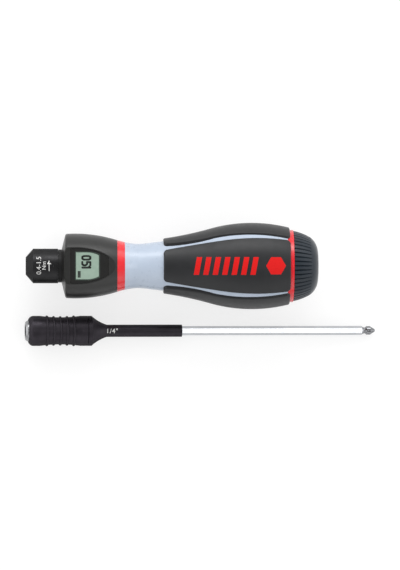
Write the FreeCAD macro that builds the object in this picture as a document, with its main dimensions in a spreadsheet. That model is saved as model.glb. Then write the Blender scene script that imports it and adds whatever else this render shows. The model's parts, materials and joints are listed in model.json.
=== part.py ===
import FreeCAD, Part
import math
import os
import Sketcher

# Digital torque screwdriver with its interchangeable bit-holder blade laid beside it.
# Millimetres. The handle and the blade are each built along their own +X axis, front end
# at x = 0, and are then laid down the way they come to rest: +Z is up.
SIZES = {
    # drive nose and its seal
    "nose_length": 16.1,
    "nose_radius": 8.64,
    "nose_face_radius": 4.4,
    "nose_chamfer_length": 3.7,
    "stem_radius": 5.0,
    "spigot_radius": 3.0,
    "socket_flats": 4.08,
    "socket_depth": 23.0,
    "socket_pilot_radius": 2.35,
    "socket_pilot_length": 6.0,
    "seal_length": 1.8,
    "seal_radius": 8.25,
    "catch_ball_radius": 1.0,
    "catch_ball_inset": 13.0,
    "catch_ring_width": 1.6,
    "catch_ring_depth": 0.8,
    # head housing and what it carries
    "head_cone_length": 1.8,
    "head_cone_radius": 15.5,
    "head_corner_run": 0.5,
    "head_corner_length": 1.3,
    "head_corner_radius": 15.95,
    "head_front_radius": 16.1,
    "head_mid_length": 15.0,
    "head_mid_radius": 15.48,
    "head_length": 27.75,
    "head_rear_radius": 12.95,
    "head_front_wall": 2.1,
    "flat_height": 13.25,
    "window_start": 4.4,
    "window_length": 18.95,
    "window_border": 0.5,
    "window_rear_half": 4.6,
    "window_inset": 0.25,
    "window_thickness": 1.2,
    "screen_start": 6.4,
    "screen_length": 14.2,
    "screen_half_width": 7.0,
    "screen_rear_half": 5.6,
    "screen_thickness": 1.2,
    "screen_frame_thickness": 1.1,
    "screen_frame_wall": 1.0,
    "board_thickness": 0.8,
    "battery_radius": 6.25,
    "battery_thickness": 2.0,
    "battery_start": 13.2,
    "battery_depth": 11.2,
    "battery_play": 0.1,
    "contact_thickness": 0.3,
    "cover_radius": 7.0,
    "cover_slot_width": 1.2,
    "cover_slot_depth": 0.8,
    "bearing_radius": 7.0,
    "bearing_length": 6.0,
    # clutch
    "tube_radius": 8.0,
    "tube_wall": 1.0,
    "tube_length": 100.0,
    "cam_radius": 6.6,
    "cam_length": 4.0,
    "cam_start": 7.1,
    "clutch_ball_radius": 1.5,
    "clutch_ball_circle": 4.8,
    "clutch_ball_count": 6,
    "clutch_lift": 0.1,
    "clutch_seat_depth": 0.5,
    "plate_length": 3.4,
    # torque spring, nut and adjusting screw
    "spring_wire_radius": 0.9,
    "spring_radius": 5.7,
    "spring_length": 48.0,
    "spring_turns": 14,
    "nut_length": 7.0,
    "nut_flat_depth": 1.0,
    "nut_travel_margin": 8.0,
    "screw_radius": 2.9,
    "screw_thread_length": 22.0,
    "screw_flange_radius": 5.5,
    "screw_flange_length": 3.0,
    "journal_radius": 3.5,
    "thrust_length": 3.0,
    "plug_flange_radius": 9.5,
    "plug_flange_length": 3.0,
    "running_gap": 0.05,
    "side_gap": 0.3,
    # front ring and grip
    "front_ring_length": 3.8,
    "front_ring_radius": 11.98,
    "neck_fall_length": 2.7,
    "neck_fall_radius": 11.42,
    "neck_length": 6.2,
    "neck_radius": 11.06,
    "neck_rise_length": 3.5,
    "neck_rise_radius": 11.24,
    "neck_end_length": 7.0,
    "neck_end_radius": 11.7,
    "flare_mid_length": 16.3,
    "flare_mid_radius": 14.25,
    "flare_length": 30.8,
    "flare_radius": 18.1,
    "bulge_mid_length": 19.2,
    "bulge_radius": 20.75,
    "bulge_length": 38.2,
    "grip_end_radius": 18.25,
    "panel_front_rise": 1.3,
    "panel_flare_rise": 1.0,
    "panel_belly_rise": 0.85,
    "panel_end_rise": 1.0,
    "panel_bond": 0.02,
    "panel_start": 19.2,
    "panel_front_half": 7.8,
    "panel_flank_length": 14.3,
    "panel_flank_half": 10.3,
    "panel_shoulder_length": 28.3,
    "panel_shoulder_half": 12.5,
    "panel_belly_length": 44.8,
    "panel_belly_half": 13.85,
    "panel_rear_half": 12.65,
    "panel_corner_radius": 2.1,
    "panel_edge_radius": 0.75,
    # rear ring and end cap
    "rear_ring_length": 1.8,
    "rear_ring_radius": 18.1,
    "rear_ring_bore": 13.0,
    "ring_tip_length": 1.5,
    "ring_tip_half_width": 2.4,
    "ring_tip_depth": 1.4,
    "cap_gap": 0.15,
    "cap_radius": 17.62,
    "cap_curve_mid_length": 4.6,
    "cap_curve_mid_radius": 16.3,
    "cap_curve_length": 8.6,
    "cap_curve_radius": 14.35,
    "cap_corner_mid_length": 11.1,
    "cap_corner_mid_radius": 11.5,
    "cap_length": 12.4,
    "cap_face_radius": 6.6,
    "cap_end_wall": 1.4,
    "cap_cavity_radius": 10.5,
    "cap_hub_radius": 5.6,
    "cap_hub_length": 2.2,
    "cap_hub_inset": 0.5,
    "cap_travel": 3.0,
    "flute_count": 48,
    "flute_width": 0.75,
    "flute_depth": 0.55,
    "hex_drive_flats": 6.0,
    "hex_drive_play": 0.2,
    "cap_spring_wire_radius": 0.45,
    "cap_spring_radius": 4.9,
    "cap_spring_slack": 1.0,
    "cap_spring_turns": 2,
    "cap_washer_radius": 5.6,
    "cap_washer_thickness": 0.7,
    "cap_screw_radius": 1.5,
    "cap_screw_length": 8.0,
    "cap_screw_head_radius": 2.8,
    "cap_screw_head_length": 1.3,
    # bit-holder blade
    "bush_face_radius": 4.6,
    "bush_nose_length": 0.9,
    "bush_radius": 5.2,
    "bush_shoulder": 9.5,
    "bush_tail_radius": 4.4,
    "bush_length": 35.0,
    "bit_flats": 6.4,
    "bit_depth": 12.0,
    "magnet_length": 3.0,
    "magnet_radius": 2.9,
    "bush_web": 3.0,
    "bit_ball_radius": 1.0,
    "bit_ball_inset": 7.0,
    "bit_ball_circle": 4.12,
    "sleeve_start": 1.5,
    "sleeve_end": 31.1,
    "sleeve_front_radius": 5.95,
    "sleeve_chamfer_length": 2.1,
    "sleeve_radius": 7.55,
    "sleeve_shoulder_length": 0.55,
    "sleeve_shoulder_radius": 6.7,
    "waist_middle": 17.55,
    "waist_reach": 10.15,
    "waist_dip": 0.72,
    "sleeve_bore_gap": 0.1,
    "sleeve_travel": 2.5,
    "ridge_first": 10.75,
    "ridge_pitch": 3.37,
    "ridge_count": 5,
    "ridge_width": 1.3,
    "ridge_height": 0.58,
    "sleeve_spring_wire_radius": 0.3,
    "sleeve_spring_turns": 5,
    "sleeve_spring_slack": 2.0,
    "holder_gap": 0.3,
    "band_length": 1.9,
    "band_corner": 0.45,
    "flare_in_length": 2.0,
    "flare_in_radius": 6.05,
    "flare_out_length": 7.2,
    "tube_end": 78.9,
    "blade_tube_radius": 3.08,
    "blade_flats": 4.0,
    "blade_hex_end": 170.9,
    "blade_chamfer": 1.0,
    "drive_neck_radius": 1.5,
    "drive_neck_length": 0.45,
    "knob_radius": 2.2,
    "knob_length": 3.0,
    "knob_rise_length": 0.8,
    "knob_round": 0.3,
    "drive_cone_length": 1.75,
    "drive_tip_radius": 0.85,
    "drive_tip_round": 0.35,
    # how the two pieces lie beside each other
    "blade_distance": 32.5,
    "blade_setback": 0.1,
}

PANEL_NAMES = ["top", "front", "bottom", "back"]
MARGIN = 10.0
FULL_TURN = 360
QUARTER_TURN = 90
EIGHTH_TURN = 45

doc = FreeCAD.newDocument("TorqueScrewdriver")
sheet = doc.addObject("Spreadsheet::Sheet", "Sizes")
for row, (name, number) in enumerate(SIZES.items(), start=1):
    sheet.set("A%d" % row, name)
    sheet.set("B%d" % row, str(number))
    sheet.setAlias("B%d" % row, name)
doc.recompute()


class Size:
    """A length, together with the spreadsheet expression that gives it."""

    def __init__(self, value, text):
        self.value = float(value)
        self.text = text

    def joined(self, other, sign, value):
        return Size(value, "(%s %s %s)" % (self.text, sign, other.text))

    def __add__(self, other):
        other = as_size(other)
        return self.joined(other, "+", self.value + other.value)

    def __sub__(self, other):
        other = as_size(other)
        return self.joined(other, "-", self.value - other.value)

    def __mul__(self, other):
        other = as_size(other)
        return self.joined(other, "*", self.value * other.value)

    def __truediv__(self, other):
        other = as_size(other)
        return self.joined(other, "/", self.value / other.value)

    def __rsub__(self, other):
        return as_size(other) - self

    def __neg__(self):
        return as_size(0) - self

    __radd__ = __add__
    __rmul__ = __mul__


def as_size(number):
    return number if isinstance(number, Size) else Size(number, "%r" % float(number))


def root(size):
    return Size(math.sqrt(size.value), "sqrt(%s)" % size.text)


class Sheet:
    """Gives each cell of the spreadsheet as a Size: S.nose_length."""

    def __getattr__(self, name):
        return Size(getattr(sheet, name), "Sizes." + name)


class Via:
    """The middle point of an arc between the two corners beside it in an outline."""

    def __init__(self, x, y):
        self.point = (as_size(x), as_size(y))


S = Sheet()
pieces = {}


# ---------------------------------------------------------------- helpers
def new_body(name, group):
    body = doc.addObject("PartDesign::Body", name)
    body.Label = name
    pieces[name] = (body, group)
    return body


def origin_feature(body, role):
    return next(feature for feature in body.Origin.OriginFeatures if feature.Role == role)


def new_sketch(body, role, offset=None):
    """A sketch on one of the body's own origin planes, or parallel to it at an offset."""
    sketch = body.newObject("Sketcher::SketchObject", body.Name + "_sketch")
    sketch.AttachmentSupport = [(origin_feature(body, role), "")]
    sketch.MapMode = "FlatFace"
    if offset is not None:
        sketch.setExpression("AttachmentOffset.Base.z", offset.text)
    return sketch


def bind(target, path, size):
    target.setExpression(path, as_size(size).text)


def vector(point):
    return FreeCAD.Vector(point[0].value, point[1].value, 0)


def circle_through(start, middle, end):
    return Part.Arc(vector(start), vector(middle), vector(end)).toShape().Curve


def fix_point(sketch, geometry, position, point):
    """Ties a point of the sketch to its two coordinates."""
    for kind, axis, size in (("DistanceX", -2, point[0]), ("DistanceY", -1, point[1])):
        if size.value == 0:
            sketch.addConstraint(Sketcher.Constraint("PointOnObject", geometry, position, axis))
        else:
            index = sketch.addConstraint(
                Sketcher.Constraint(kind, -1, 1, geometry, position, size.value))
            bind(sketch, "Constraints[%d]" % index, size)


def add_edge(sketch, start, middle, end):
    """Adds a line, or an arc through middle; returns it with its start and end positions."""
    if middle is None:
        return sketch.addGeometry(Part.LineSegment(vector(start), vector(end)), False), 1, 2
    arc = sketch.addGeometry(Part.Arc(vector(start), vector(middle), vector(end)), False)
    forward = (sketch.getPoint(arc, 1) - vector(start)).Length < 1e-6
    point = sketch.addGeometry(Part.Point(vector(middle)), True)
    fix_point(sketch, point, 1, middle)
    sketch.addConstraint(Sketcher.Constraint("PointOnObject", point, 1, arc))
    return (arc, 1, 2) if forward else (arc, 2, 1)


def draw(sketch, outline):
    """Draws a closed outline of corners, with an arc wherever a Via stands between two."""
    steps = [step if isinstance(step, Via) else (as_size(step[0]), as_size(step[1]))
             for step in outline]
    edges = []
    for index, start in enumerate(steps):
        if isinstance(start, Via):
            continue
        after = steps[(index + 1) % len(steps)]
        if isinstance(after, Via):
            end = steps[(index + 2) % len(steps)]
            edges.append((add_edge(sketch, start, after.point, end), start))
        else:
            edges.append((add_edge(sketch, start, None, after), start))
    for index, ((geometry, first, last), start) in enumerate(edges):
        fix_point(sketch, geometry, first, start)
        following, following_first = edges[(index + 1) % len(edges)][0][:2]
        sketch.addConstraint(
            Sketcher.Constraint("Coincident", geometry, last, following, following_first))
    return sketch


def feature_of(body, kind, sketch):
    feature = body.newObject("PartDesign::" + kind, body.Name + "_" + kind)
    feature.Profile = sketch
    sketch.Visibility = False
    return feature


def volume_of(body):
    return 0.0 if body.Shape.isNull() else body.Shape.Volume


def checked_cut(body, volume_before):
    """Raises an error if the newest cut took nothing away."""
    doc.recompute()
    if volume_of(body) > volume_before - 1e-3:
        raise RuntimeError("a cut in %s removes nothing" % body.Label)


def turn(body, outline):
    """Adds the outline, drawn as (x, radius), turned about the X axis."""
    feature = feature_of(body, "Revolution", draw(new_sketch(body, "XZ_Plane"), outline))
    feature.ReferenceAxis = (feature.Profile[0], ["H_Axis"])
    feature.Angle = FULL_TURN
    doc.recompute()
    return feature


def turn_away(body, outline, plane="XZ_Plane"):
    """Cuts the outline, drawn as (x, radius), turned about the X axis."""
    before = volume_of(body)
    feature = feature_of(body, "Groove", draw(new_sketch(body, plane), outline))
    feature.ReferenceAxis = (feature.Profile[0], ["H_Axis"])
    feature.Angle = FULL_TURN
    checked_cut(body, before)
    return feature


def ring(name, group, start, length, inner, outer):
    """A plain turned ring, bush, washer or, with no bore, disc."""
    body = new_body(name, group)
    end = start + length
    turn(body, [(start, inner), (end, inner), (end, outer), (start, outer)])
    return body


def pad(body, sketch, length, reverse=False):
    feature = feature_of(body, "Pad", sketch)
    bind(feature, "Length", length)
    feature.Reversed = reverse
    doc.recompute()
    return feature


def pocket(body, sketch, length, reverse=False):
    before = volume_of(body)
    feature = feature_of(body, "Pocket", sketch)
    bind(feature, "Length", length)
    feature.Reversed = reverse
    checked_cut(body, before)
    return feature


def polar(body, feature, count):
    pattern = body.newObject("PartDesign::PolarPattern", body.Name + "_pattern")
    pattern.Originals = [feature]
    pattern.Axis = (origin_feature(body, "X_Axis"), [""])
    pattern.Angle = FULL_TURN
    bind(pattern, "Occurrences", count)
    body.Tip = pattern
    doc.recompute()
    return pattern


def hexagon(body, flats, offset):
    """A regular hexagon across the X axis, two of its flats facing up and down."""
    sketch = new_sketch(body, "YZ_Plane", offset)
    radius = flats / root(as_size(3))
    circle = sketch.addGeometry(
        Part.Circle(FreeCAD.Vector(0, 0, 0), FreeCAD.Vector(0, 0, 1), radius.value), True)
    sketch.addConstraint(Sketcher.Constraint("Coincident", circle, 3, -1, 1))
    size = sketch.addConstraint(Sketcher.Constraint("Radius", circle, radius.value))
    bind(sketch, "Constraints[%d]" % size, radius)
    corners = [FreeCAD.Vector(radius.value * math.cos(math.radians(60 * corner)),
                              radius.value * math.sin(math.radians(60 * corner)), 0)
               for corner in range(6)]
    sides = [sketch.addGeometry(Part.LineSegment(corners[side], corners[(side + 1) % 6]), False)
             for side in range(6)]
    for side in range(6):
        sketch.addConstraint(
            Sketcher.Constraint("Coincident", sides[side], 2, sides[(side + 1) % 6], 1))
        sketch.addConstraint(Sketcher.Constraint("PointOnObject", sides[side], 1, circle))
    for side in range(1, 6):
        sketch.addConstraint(Sketcher.Constraint("Equal", sides[0], sides[side]))
    sketch.addConstraint(Sketcher.Constraint("PointOnObject", sides[0], 1, -1))
    return sketch


def disc(body, plane, centre_x, radius, offset):
    """A circle on a plane parallel to an origin plane, its centre on the X axis."""
    sketch = new_sketch(body, plane, offset)
    centre = (as_size(centre_x), as_size(0))
    circle = sketch.addGeometry(
        Part.Circle(vector(centre), FreeCAD.Vector(0, 0, 1), radius.value), False)
    size = sketch.addConstraint(Sketcher.Constraint("Radius", circle, radius.value))
    bind(sketch, "Constraints[%d]" % size, radius)
    fix_point(sketch, circle, 3, centre)
    return sketch


def rectangle(body, plane, offset, x_start, x_end, y_start, y_end):
    return draw(new_sketch(body, plane, offset),
                [(x_start, y_start), (x_end, y_start), (x_end, y_end), (x_start, y_end)])


def add_balls(body, x, circle, radius, cut, count=None):
    """Adds or cuts a ball centred at (x, circle); a count spaces copies around the axis."""
    sketch = new_sketch(body, "XZ_Plane")
    axis = sketch.addGeometry(
        Part.LineSegment(vector((x - radius, circle)), vector((x + radius, circle))), False)
    arc = sketch.addGeometry(
        Part.Arc(vector((x + radius, circle)), vector((x, circle + radius)),
                 vector((x - radius, circle))), False)
    fix_point(sketch, axis, 1, (x - radius, circle))
    fix_point(sketch, axis, 2, (x + radius, circle))
    sketch.addConstraint(Sketcher.Constraint("Coincident", arc, 1, axis, 2))
    sketch.addConstraint(Sketcher.Constraint("Coincident", arc, 2, axis, 1))
    sketch.addConstraint(Sketcher.Constraint("PointOnObject", arc, 3, axis))
    before = volume_of(body)
    feature = feature_of(body, "Groove" if cut else "Revolution", sketch)
    feature.ReferenceAxis = (sketch, ["Edge1"])
    feature.Angle = FULL_TURN
    if cut:
        checked_cut(body, before)
    else:
        doc.recompute()
    if count is not None:
        polar(body, feature, count)


def coil(name, group, start, length, radius, wire, turns):
    """A coil spring about the X axis that just fills its length."""
    body = new_body(name, group)
    profile = new_sketch(body, "XZ_Plane")
    centre = (start + wire, as_size(radius))
    circle = profile.addGeometry(
        Part.Circle(vector(centre), FreeCAD.Vector(0, 0, 1), wire.value), False)
    size = profile.addConstraint(Sketcher.Constraint("Radius", circle, wire.value))
    bind(profile, "Constraints[%d]" % size, wire)
    fix_point(profile, circle, 3, centre)
    helix = feature_of(body, "AdditiveHelix", profile)
    helix.ReferenceAxis = (profile, ["H_Axis"])
    helix.Mode = "height-turns-angle"
    bind(helix, "Height", length - 2 * wire)
    bind(helix, "Turns", turns)
    doc.recompute()
    return body


def edges_where(feature, wanted):
    return ["Edge%d" % (index + 1) for index, edge in enumerate(feature.Shape.Edges)
            if wanted(edge)]


def fillet(body, base, edges, radius):
    feature = body.newObject("PartDesign::Fillet", body.Name + "_Fillet")
    feature.Base = (base, edges)
    bind(feature, "Radius", radius)
    doc.recompute()
    return feature


# ---------------------------------------------------------------- stations along the handle
head_start = S.nose_length + S.seal_length
head_side = head_start + S.head_cone_length + S.head_corner_length
head_end = head_start + S.head_length
bearing_start = head_start + S.head_front_wall
tube_start = bearing_start + S.bearing_length
tube_end = tube_start + S.tube_length
tube_bore = S.tube_radius - S.tube_wall
cam_start = tube_start + S.cam_start
cam_end = cam_start + S.cam_length
ball_x = cam_end + S.clutch_lift + S.clutch_ball_radius
plate_start = ball_x + S.clutch_ball_radius - S.clutch_seat_depth
spring_start = plate_start + S.plate_length
nut_start = spring_start + S.spring_length
screw_start = nut_start - S.nut_travel_margin
screw_flange = screw_start + S.screw_thread_length + S.nut_travel_margin
thrust_start = screw_flange + S.screw_flange_length + S.running_gap
plug_start = thrust_start + S.thrust_length
grip_start = head_end + S.front_ring_length
neck_low = grip_start + S.neck_length
flare_start = neck_low + S.neck_end_length
bulge_start = flare_start + S.flare_length
grip_end = bulge_start + S.bulge_length
ring_end = grip_end + S.rear_ring_length
cap_start = ring_end + S.cap_gap
cap_end = cap_start + S.cap_length
hub_start = cap_start + S.cap_hub_inset
hub_end = hub_start + S.cap_hub_length
cap_spring_length = (S.cap_spring_wire_radius * 2 * S.cap_spring_turns + S.cap_travel
                     + S.cap_spring_slack)
washer_start = hub_end + cap_spring_length
flat = S.flat_height
window_top = flat - S.window_inset
screen_top = window_top - S.window_thickness
frame_top = screen_top - S.screen_thickness
board_top = frame_top - S.screen_frame_thickness
board_bottom = board_top - S.board_thickness

cover_depth = S.battery_depth + S.battery_thickness + S.contact_thickness
sleeve_spring_length = (S.sleeve_spring_wire_radius * 2 * S.sleeve_spring_turns
                        + S.sleeve_travel + S.sleeve_spring_slack)
sleeve_bore_step = S.bush_shoulder + sleeve_spring_length

head_profile = [
    (head_start, S.seal_radius),
    (head_start + S.head_cone_length, S.head_cone_radius),
    Via(head_start + S.head_cone_length + S.head_corner_run, S.head_corner_radius),
    (head_side, S.head_front_radius),
    Via(head_start + S.head_cone_length + S.head_mid_length, S.head_mid_radius),
    (head_end, S.head_rear_radius),
]


def grip_arcs(front=0, flare=0, belly=0, end=0):
    """The flare and the belly of the grip, lifted by what is asked at each of its stations."""
    return [
        (flare_start, S.neck_end_radius + front),
        Via(flare_start + S.flare_mid_length, S.flare_mid_radius + front),
        (bulge_start, S.flare_radius + flare),
        Via(bulge_start + S.bulge_mid_length, S.bulge_radius + belly),
        (grip_end, S.grip_end_radius + end),
    ]


panel_face = grip_arcs(S.panel_front_rise, S.panel_flare_rise, S.panel_belly_rise,
                       S.panel_end_rise)
panel_seat = grip_arcs(S.panel_bond, S.panel_bond, S.panel_bond, S.panel_bond)


# ---------------------------------------------------------------- drive nose
def build_drive_nose():
    body = new_body("drive_nose", "handle")
    turn(body, [
        (0, 0),
        (0, S.nose_face_radius),
        (S.nose_chamfer_length, S.nose_radius),
        (S.nose_length, S.nose_radius),
        (S.nose_length, S.stem_radius),
        (cam_start, S.stem_radius),
        (cam_start, S.spigot_radius),
        (cam_end, S.spigot_radius),
        (cam_end, 0),
    ])
    pocket(body, hexagon(body, S.socket_flats, as_size(0)), S.socket_depth, reverse=True)
    pocket(body, disc(body, "YZ_Plane", 0, S.socket_pilot_radius, S.socket_depth),
           S.socket_pilot_length, reverse=True)
    ring_start = S.catch_ball_inset - S.catch_ring_width / 2
    ring_end_x = S.catch_ball_inset + S.catch_ring_width / 2
    turn_away(body, [
        (ring_start, S.nose_radius - S.catch_ring_depth),
        (ring_end_x, S.nose_radius - S.catch_ring_depth),
        (ring_end_x, S.nose_radius + MARGIN),
        (ring_start, S.nose_radius + MARGIN),
    ])
    pocket(body, disc(body, "XY_Plane", S.catch_ball_inset, S.catch_ball_radius, as_size(0)),
           S.nose_radius, reverse=True)


def build_blade_catch():
    ring("blade_catch_ring", "handle", S.catch_ball_inset - S.catch_ring_width / 2,
         S.catch_ring_width, S.nose_radius - S.catch_ring_depth, S.nose_radius)
    pin = new_body("blade_catch_pin", "handle")
    pin_foot = S.socket_flats / 2
    pad(pin, disc(pin, "XY_Plane", S.catch_ball_inset, S.catch_ball_radius, pin_foot),
        S.nose_radius - S.catch_ring_depth - pin_foot)
    turn_away(pin, [
        (S.catch_ball_inset - MARGIN, S.nose_radius - S.catch_ring_depth),
        (S.catch_ball_inset + MARGIN, S.nose_radius - S.catch_ring_depth),
        (S.catch_ball_inset + MARGIN, S.nose_radius + MARGIN),
        (S.catch_ball_inset - MARGIN, S.nose_radius + MARGIN),
    ])


# ---------------------------------------------------------------- head housing
def build_head_housing():
    body = new_body("head_housing", "handle")
    stem_bore = S.stem_radius + S.side_gap
    turn(body, head_profile + [
        (head_end, S.tube_radius),
        (tube_start, S.tube_radius),
        (tube_start, S.bearing_radius),
        (bearing_start, S.bearing_radius),
        (bearing_start, stem_bore),
        (head_start, stem_bore),
    ])
    pocket(body, rectangle(body, "XY_Plane", flat, head_start - MARGIN, head_end + MARGIN,
                           -2 * S.head_front_radius, 2 * S.head_front_radius),
           S.head_front_radius, reverse=True)
    pocket(body, window_outline(body, flat), S.window_inset + S.window_thickness)
    pocket(body, screen_outline(body, screen_top, as_size(0)), screen_top - board_bottom)
    battery_x = head_start + S.battery_start
    pocket(body, disc(body, "XY_Plane", battery_x, S.battery_radius + S.battery_play,
                      -S.battery_depth), S.head_front_radius)
    pocket(body, disc(body, "XY_Plane", battery_x, S.cover_radius, -cover_depth),
           S.head_front_radius)


def window_outline(body, height):
    """The window follows the flat's own edge at an even border, and ends square."""
    start = head_start + S.window_start
    end = start + S.window_length
    front = root(S.head_front_radius * S.head_front_radius - flat * flat) - S.window_border
    middle = root(S.head_mid_radius * S.head_mid_radius - flat * flat) - S.window_border
    middle_x = head_start + S.head_cone_length + S.head_mid_length
    rear = S.window_rear_half
    return draw(new_sketch(body, "XY_Plane", height), [
        (start, -front), Via(middle_x, -middle), (end, -rear),
        (end, rear), Via(middle_x, middle), (start, front),
    ])


def screen_outline(body, height, wall):
    """The display well, narrower at its rear end; wall shrinks it all round."""
    start = head_start + S.screen_start + wall
    end = head_start + S.screen_start + S.screen_length - wall
    middle = start + (end - start) / 2
    wide = S.screen_half_width - wall
    narrow = S.screen_rear_half - wall
    return draw(new_sketch(body, "XY_Plane", height), [
        (start, -wide), (middle, -wide), (end, -narrow),
        (end, narrow), (middle, wide), (start, wide),
    ])


def build_display():
    window = new_body("display_window", "handle")
    pad(window, window_outline(window, screen_top), S.window_thickness)
    screen = new_body("lcd_screen", "handle")
    pad(screen, screen_outline(screen, frame_top, as_size(0)), S.screen_thickness)
    frame = new_body("lcd_frame", "handle")
    pad(frame, screen_outline(frame, board_top, as_size(0)), S.screen_frame_thickness)
    pocket(frame, screen_outline(frame, frame_top, S.screen_frame_wall),
           S.screen_frame_thickness)
    board = new_body("circuit_board", "handle")
    pad(board, screen_outline(board, board_bottom, as_size(0)), S.board_thickness)


def build_battery():
    battery_x = head_start + S.battery_start
    cell = new_body("battery_cell", "handle")
    pad(cell, disc(cell, "XY_Plane", battery_x, S.battery_radius, -S.battery_depth),
        S.battery_thickness, reverse=True)
    contact = new_body("battery_contact", "handle")
    pad(contact, disc(contact, "XY_Plane", battery_x, S.battery_radius,
                      -S.battery_depth - S.battery_thickness), S.contact_thickness, reverse=True)
    cover = new_body("battery_cover", "handle")
    pad(cover, disc(cover, "XY_Plane", battery_x, S.cover_radius, -cover_depth),
        S.head_front_radius, reverse=True)
    turn_away(cover, head_profile[3:] + [
        (head_end, S.head_front_radius + 2 * MARGIN),
        (head_side, S.head_front_radius + 2 * MARGIN),
    ])
    slot = S.cover_slot_width / 2
    pocket(cover, rectangle(cover, "XY_Plane", S.cover_slot_depth - S.head_mid_radius,
                            battery_x - slot, battery_x + slot,
                            -S.battery_radius, S.battery_radius),
           S.head_front_radius)


# ---------------------------------------------------------------- clutch and torque spring
def build_clutch():
    cam = ring("clutch_cam", "handle", cam_start, S.cam_length, S.spigot_radius, S.cam_radius)
    add_balls(cam, ball_x - S.clutch_lift - S.clutch_seat_depth, S.clutch_ball_circle,
              S.clutch_ball_radius, True, S.clutch_ball_count)
    balls = new_body("clutch_balls", "handle")
    balls.AllowCompound = True
    add_balls(balls, ball_x, S.clutch_ball_circle, S.clutch_ball_radius, False,
              S.clutch_ball_count)
    plate = ring("pressure_plate", "handle", plate_start, S.plate_length, S.spigot_radius,
                 tube_bore)
    add_balls(plate, ball_x, S.clutch_ball_circle, S.clutch_ball_radius, True,
              S.clutch_ball_count)


def build_torque_setting():
    ring("mechanism_tube", "handle", tube_start, S.tube_length, tube_bore, S.tube_radius)
    coil("torque_spring", "handle", spring_start, S.spring_length, S.spring_radius,
         S.spring_wire_radius, S.spring_turns)
    nut_radius = tube_bore - S.running_gap
    nut = ring("adjusting_nut", "handle", nut_start, S.nut_length,
               S.screw_radius + S.running_gap, nut_radius)
    for side in (1, -1):
        key = nut_radius - S.nut_flat_depth
        pocket(nut, rectangle(nut, "XY_Plane", side * key, nut_start - MARGIN,
                              nut_start + S.nut_length + MARGIN, -nut_radius, nut_radius),
               nut_radius, reverse=side > 0)
    screw = new_body("adjusting_screw", "handle")
    turn(screw, [
        (screw_start, 0),
        (screw_start, S.screw_radius),
        (screw_flange, S.screw_radius),
        (screw_flange, S.screw_flange_radius),
        (screw_flange + S.screw_flange_length, S.screw_flange_radius),
        (screw_flange + S.screw_flange_length, S.journal_radius),
        (grip_end, S.journal_radius),
        (grip_end, 0),
    ])
    pad(screw, hexagon(screw, S.hex_drive_flats, grip_end), washer_start - grip_end)
    pocket(screw, disc(screw, "YZ_Plane", 0, S.cap_screw_radius, washer_start),
           S.cap_screw_length)
    bore = S.journal_radius + S.running_gap
    ring("thrust_bearing", "handle", thrust_start, S.thrust_length, bore, tube_bore)
    plug = new_body("rear_plug", "handle")
    turn(plug, [
        (plug_start, bore),
        (plug_start, tube_bore),
        (tube_end, tube_bore),
        (tube_end, S.plug_flange_radius),
        (tube_end + S.plug_flange_length, S.plug_flange_radius),
        (tube_end + S.plug_flange_length, bore),
    ])


# ---------------------------------------------------------------- grip
def build_grip_core():
    body = new_body("grip_core", "handle")
    turn(body, [
        (grip_start, S.tube_radius),
        (grip_start, S.front_ring_radius),
        Via(grip_start + S.neck_fall_length, S.neck_fall_radius),
        (neck_low, S.neck_radius),
        Via(neck_low + S.neck_rise_length, S.neck_rise_radius),
    ] + grip_arcs() + [
        (grip_end, S.plug_flange_radius),
        (tube_end, S.plug_flange_radius),
        (tube_end, S.tube_radius),
    ])
    notch = pocket(body, ring_tip(body), S.grip_end_radius, reverse=True)
    polar(body, notch, as_size(len(PANEL_NAMES)))


def ring_tip(body):
    """The pointed tip of the rear ring that reaches forward between two panels."""
    return draw(new_sketch(body, "XY_Plane", S.grip_end_radius - S.ring_tip_depth), [
        (grip_end - S.ring_tip_length, 0),
        (grip_end, -S.ring_tip_half_width),
        (grip_end, S.ring_tip_half_width),
    ])


def build_rear_ring():
    body = ring("rear_ring", "handle", grip_end, S.rear_ring_length, S.rear_ring_bore,
                S.rear_ring_radius)
    tip = pad(body, ring_tip(body), S.ring_tip_depth)
    polar(body, tip, as_size(len(PANEL_NAMES)))
    turn_away(body, grip_arcs()[2:] + [
        (grip_end, S.grip_end_radius + MARGIN),
        (bulge_start, S.grip_end_radius + MARGIN),
    ])


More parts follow.
